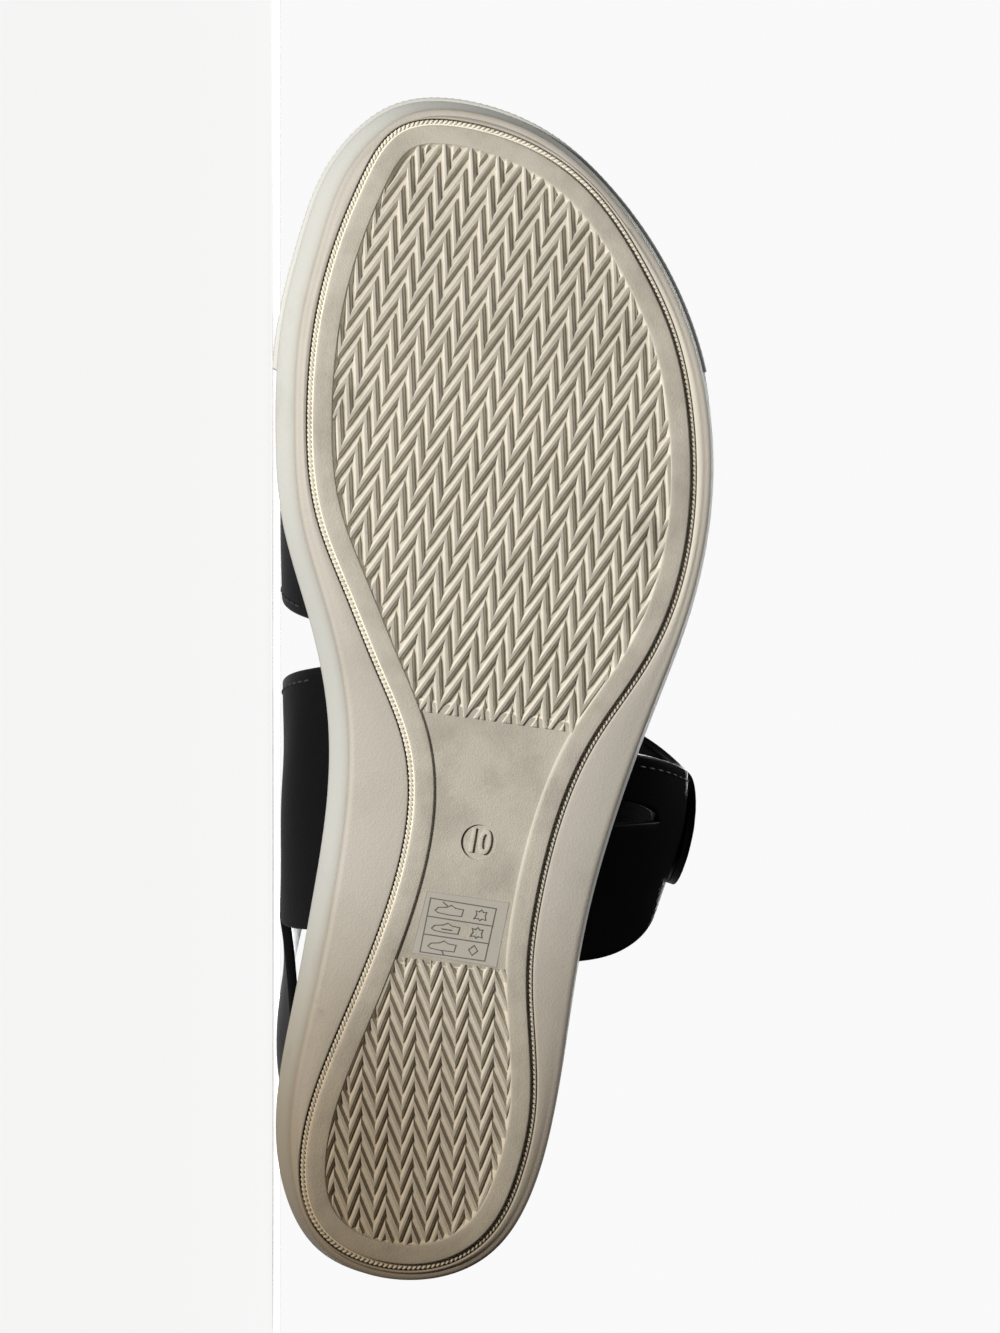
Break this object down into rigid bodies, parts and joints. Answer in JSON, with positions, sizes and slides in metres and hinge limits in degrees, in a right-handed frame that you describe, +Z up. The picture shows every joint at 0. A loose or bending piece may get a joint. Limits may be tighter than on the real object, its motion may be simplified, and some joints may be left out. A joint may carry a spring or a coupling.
{
  "type": "sport sandal",
  "caption": "Open sport sandal for the left foot: wedge sole with a recessed zigzag tread, wide vamp strap and joined rear straps, lying on its inner side.",
  "frame": {"origin": "middle of the bounding box, on the floor that the shoe lies on", "axes": "-X towards the toe, -Y out of the underside of the sole, +Z up, towards the outer side of the foot"},
  "size_m": [0.2788, 0.1098, 0.1056],
  "materials": {
    "outsole_rubber": "matt cream rubber with tan dirt in the tread",
    "midsole_foam": "matt cream foam rubber, slightly soiled",
    "footbed_lining": "black napped lining",
    "strap_leather": "smooth black leather with a slight sheen"
  },
  "bodies": {
    "root": {"outsole": "outsole_rubber", "midsole": "midsole_foam", "footbed": "footbed_lining", "vamp_strap": "strap_leather", "quarter_straps": "strap_leather", "closure_tab": "strap_leather"}
  },
  "joints": []
}
